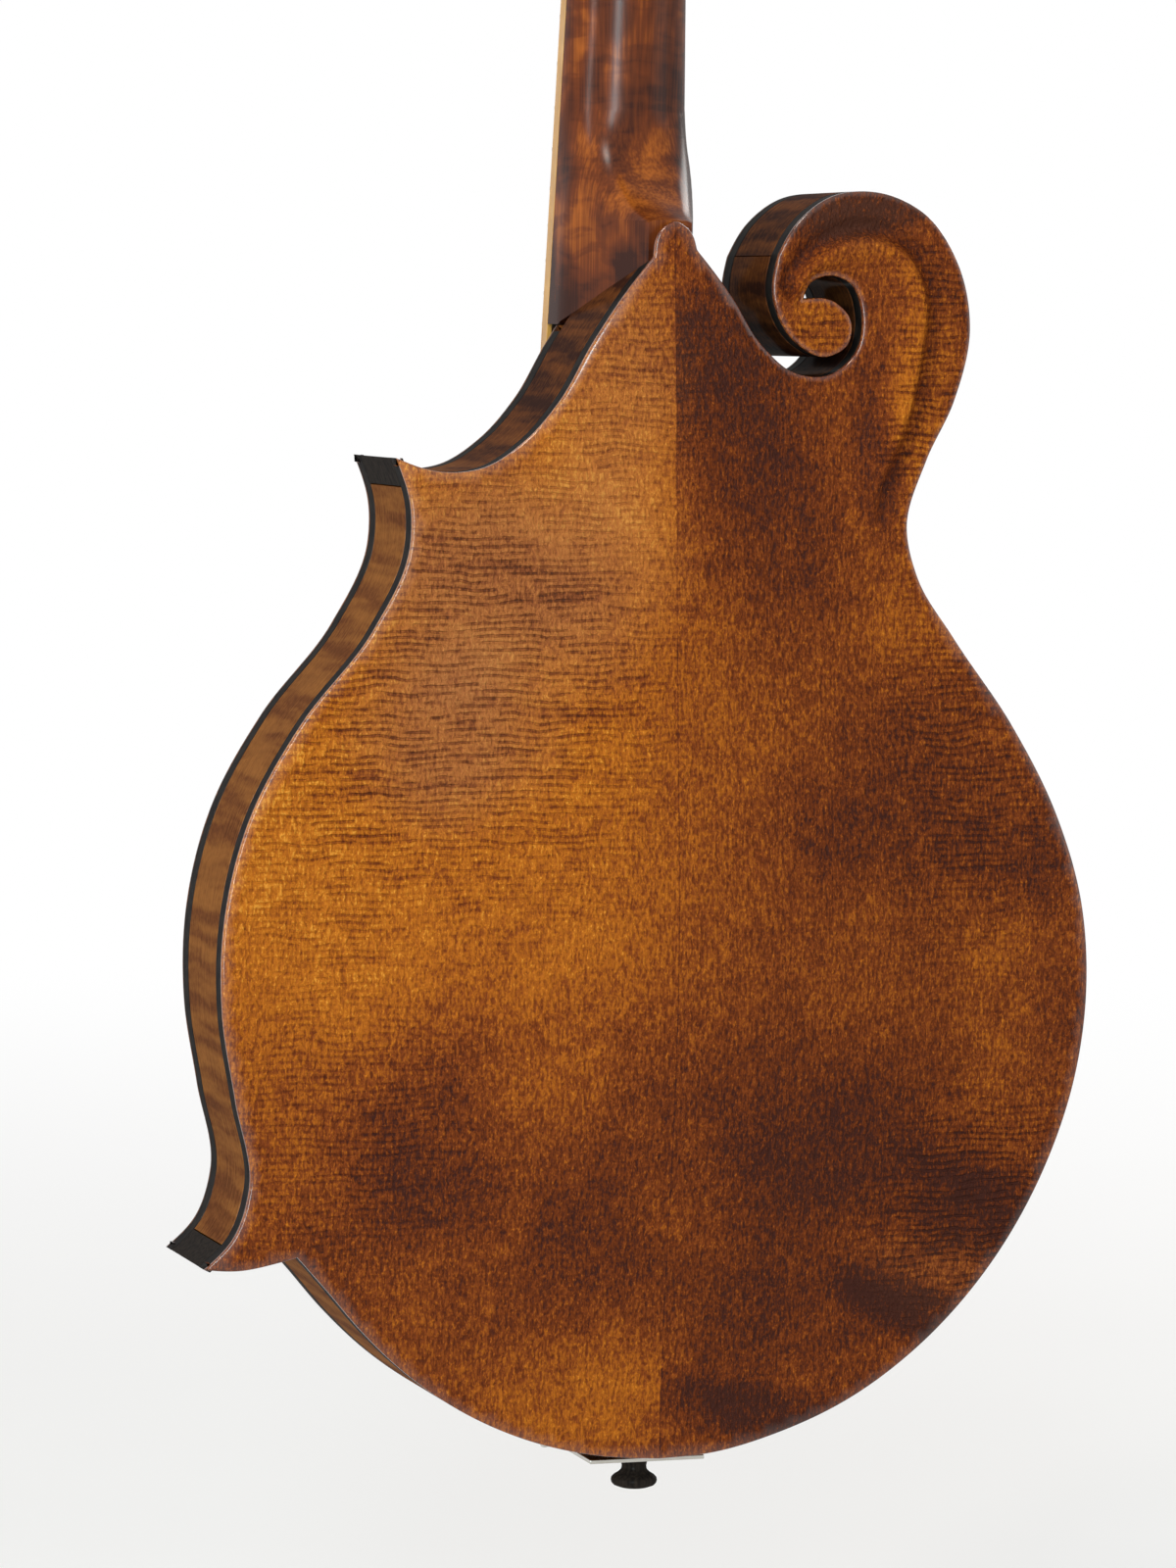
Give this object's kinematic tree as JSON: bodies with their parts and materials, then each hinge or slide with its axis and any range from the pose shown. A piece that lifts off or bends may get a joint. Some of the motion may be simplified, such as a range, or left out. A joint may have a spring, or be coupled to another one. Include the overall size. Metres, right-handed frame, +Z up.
{
  "type": "f-style mandolin",
  "caption": "F-style mandolin with carved arched plates, scroll, points, set neck, worm-gear tuners, adjustable bridge and sliding tailpiece cover.",
  "frame": {"origin": "middle of the neck's depth at the nut, on the centre line, where a hanger's fork holds the instrument", "axes": "+Z up along the body's length towards the peghead, -Y out of the front towards the strings, +X to the treble side"},
  "size_m": [0.2596, 0.098, 0.6963],
  "materials": {
    "aged binding": "yellowed, polished",
    "black binding": "scraped and polished, black",
    "bone": "polished bone, off-white",
    "brass": "turned, satin",
    "ebony": "polished black wood",
    "figured maple back": "satin hand-rubbed, amber to red-brown",
    "figured maple ribs": "satin, brown with flame figure",
    "maple neck": "glossy satin, red-brown",
    "nickel": "plated, lightly worn",
    "plain inner wood": "raw, unfinished",
    "spruce top": "satin, amber with straight grain",
    "string steel": "drawn wire"
  },
  "bodies": {
    "instrument": {"back_plate": "figured maple back", "binding_back": "black binding", "binding_top": "black binding", "bridge_base": "ebony", "bridge_stud_bass": "brass", "bridge_stud_treble": "brass", "extension_support": "maple neck", "fretboard": "ebony", "fretboard_binding": "aged binding", "head_block": "plain inner wood", "neck": "maple neck", "nut": "bone", "peghead_overlay": "ebony", "point_block_lower": "plain inner wood", "point_block_upper": "plain inner wood", "point_cap_lower": "ebony", "point_cap_upper": "ebony", "rib_bass": "figured maple ribs", "rib_scroll": "figured maple ribs", "rib_treble_shoulder": "figured maple ribs", "rib_treble_tail": "figured maple ribs", "rib_treble_waist": "figured maple ribs", "strap_button": "ebony", "string_a1": "string steel", "string_a2": "string steel", "string_d1": "string steel", "string_d2": "string steel", "string_e1": "string steel", "string_e2": "string steel", "string_g1": "string steel", "string_g2": "string steel", "tail_block": "plain inner wood", "tailpiece_base": "nickel", "tone_bar_bass": "plain inner wood", "tone_bar_treble": "plain inner wood", "top_plate": "spruce top", "truss_rod": "nickel", "truss_rod_cover": "ebony", "tuner_plate_bass": "nickel", "tuner_plate_treble": "nickel"},
    "tuner_shaft_1": {"tuner_shaft_1": "nickel"},
    "tuner_post_1": {"tuner_post_1": "nickel"},
    "tuner_shaft_2": {"tuner_shaft_2": "nickel"},
    "tuner_post_2": {"tuner_post_2": "nickel"},
    "tuner_shaft_3": {"tuner_shaft_3": "nickel"},
    "tuner_post_3": {"tuner_post_3": "nickel"},
    "tuner_shaft_4": {"tuner_shaft_4": "nickel"},
    "tuner_post_4": {"tuner_post_4": "nickel"},
    "tuner_shaft_5": {"tuner_shaft_5": "nickel"},
    "tuner_post_5": {"tuner_post_5": "nickel"},
    "tuner_shaft_6": {"tuner_shaft_6": "nickel"},
    "tuner_post_6": {"tuner_post_6": "nickel"},
    "tuner_shaft_7": {"tuner_shaft_7": "nickel"},
    "tuner_post_7": {"tuner_post_7": "nickel"},
    "tuner_shaft_8": {"tuner_shaft_8": "nickel"},
    "tuner_post_8": {"tuner_post_8": "nickel"},
    "saddle": {"bridge_saddle": "ebony"},
    "thumbwheel_bass": {"thumbwheel_bass": "brass"},
    "thumbwheel_treble": {"thumbwheel_treble": "brass"},
    "tailpiece_cover": {"tailpiece_cover": "nickel"}
  },
  "joints": [
    {"name": "tuner_turn_1", "type": "hinge", "parent": "instrument", "child": "tuner_shaft_1", "pos_m": [-0.0175, 0.0184, 0.02593], "axis": [1, 0, 0], "continuous": true},
    {"name": "tuner_turn_2", "type": "hinge", "parent": "instrument", "child": "tuner_shaft_2", "pos_m": [-0.0175, 0.02595, 0.04786], "axis": [1, 0, 0], "continuous": true},
    {"name": "tuner_turn_3", "type": "hinge", "parent": "instrument", "child": "tuner_shaft_3", "pos_m": [-0.0175, 0.0335, 0.0698], "axis": [1, 0, 0], "continuous": true},
    {"name": "tuner_turn_4", "type": "hinge", "parent": "instrument", "child": "tuner_shaft_4", "pos_m": [-0.0175, 0.04106, 0.09173], "axis": [1, 0, 0], "continuous": true},
    {"name": "tuner_turn_5", "type": "hinge", "parent": "instrument", "child": "tuner_shaft_5", "pos_m": [0.0175, 0.0184, 0.02593], "axis": [1, 0, 0], "continuous": true},
    {"name": "tuner_turn_6", "type": "hinge", "parent": "instrument", "child": "tuner_shaft_6", "pos_m": [0.0175, 0.02595, 0.04786], "axis": [1, 0, 0], "continuous": true},
    {"name": "tuner_turn_7", "type": "hinge", "parent": "instrument", "child": "tuner_shaft_7", "pos_m": [0.0175, 0.0335, 0.0698], "axis": [1, 0, 0], "continuous": true},
    {"name": "tuner_turn_8", "type": "hinge", "parent": "instrument", "child": "tuner_shaft_8", "pos_m": [0.0175, 0.04106, 0.09173], "axis": [1, 0, 0], "continuous": true},
    {"name": "post_turn_1", "type": "hinge", "parent": "instrument", "child": "tuner_post_1", "pos_m": [-0.0175, 0.00309, 0.03828], "axis": [0, 0.9455, -0.3256], "continuous": true},
    {"name": "post_turn_2", "type": "hinge", "parent": "instrument", "child": "tuner_post_2", "pos_m": [-0.0175, 0.01064, 0.06022], "axis": [0, 0.9455, -0.3256], "continuous": true},
    {"name": "post_turn_3", "type": "hinge", "parent": "instrument", "child": "tuner_post_3", "pos_m": [-0.0175, 0.01819, 0.08216], "axis": [0, 0.9455, -0.3256], "continuous": true},
    {"name": "post_turn_4", "type": "hinge", "parent": "instrument", "child": "tuner_post_4", "pos_m": [-0.0175, 0.02575, 0.10409], "axis": [0, 0.9455, -0.3256], "continuous": true},
    {"name": "post_turn_5", "type": "hinge", "parent": "instrument", "child": "tuner_post_5", "pos_m": [0.0175, 0.00309, 0.03828], "axis": [0, 0.9455, -0.3256], "continuous": true},
    {"name": "post_turn_6", "type": "hinge", "parent": "instrument", "child": "tuner_post_6", "pos_m": [0.0175, 0.01064, 0.06022], "axis": [0, 0.9455, -0.3256], "continuous": true},
    {"name": "post_turn_7", "type": "hinge", "parent": "instrument", "child": "tuner_post_7", "pos_m": [0.0175, 0.01819, 0.08216], "axis": [0, 0.9455, -0.3256], "continuous": true},
    {"name": "post_turn_8", "type": "hinge", "parent": "instrument", "child": "tuner_post_8", "pos_m": [0.0175, 0.02575, 0.10409], "axis": [0, 0.9455, -0.3256], "continuous": true},
    {"name": "saddle_height", "type": "slide", "parent": "instrument", "child": "saddle", "axis": [0, -1, 0], "range_m": [-0.0012, 0.0018], "deforming": ["string_a1", "string_a2", "string_d1", "string_d2", "string_e1", "string_e2", "string_g1", "string_g2"]},
    {"name": "wheel_turn_bass", "type": "hinge", "parent": "saddle", "child": "thumbwheel_bass", "pos_m": [-0.035, -0.0299, -0.35142], "axis": [0, -1, 0], "range_deg": [-620, 930]},
    {"name": "wheel_turn_treble", "type": "hinge", "parent": "saddle", "child": "thumbwheel_treble", "pos_m": [0.035, -0.0299, -0.35142], "axis": [0, -1, 0], "range_deg": [-620, 930]},
    {"name": "cover_slide", "type": "slide", "parent": "instrument", "child": "tailpiece_cover", "axis": [0, 0, 1], "range_m": [0, 0.008]}
  ],
  "couplings": [
    {"joint": "post_turn_1", "follows": "tuner_turn_1", "ratio": 0.071429},
    {"joint": "post_turn_2", "follows": "tuner_turn_2", "ratio": 0.071429},
    {"joint": "post_turn_3", "follows": "tuner_turn_3", "ratio": 0.071429},
    {"joint": "post_turn_4", "follows": "tuner_turn_4", "ratio": 0.071429},
    {"joint": "post_turn_5", "follows": "tuner_turn_5", "ratio": 0.071429},
    {"joint": "post_turn_6", "follows": "tuner_turn_6", "ratio": 0.071429},
    {"joint": "post_turn_7", "follows": "tuner_turn_7", "ratio": 0.071429},
    {"joint": "post_turn_8", "follows": "tuner_turn_8", "ratio": 0.071429},
    {"joint": "wheel_turn_bass", "follows": "saddle_height", "rad_per_m": 8976},
    {"joint": "wheel_turn_treble", "follows": "saddle_height", "rad_per_m": 8976}
  ]
}
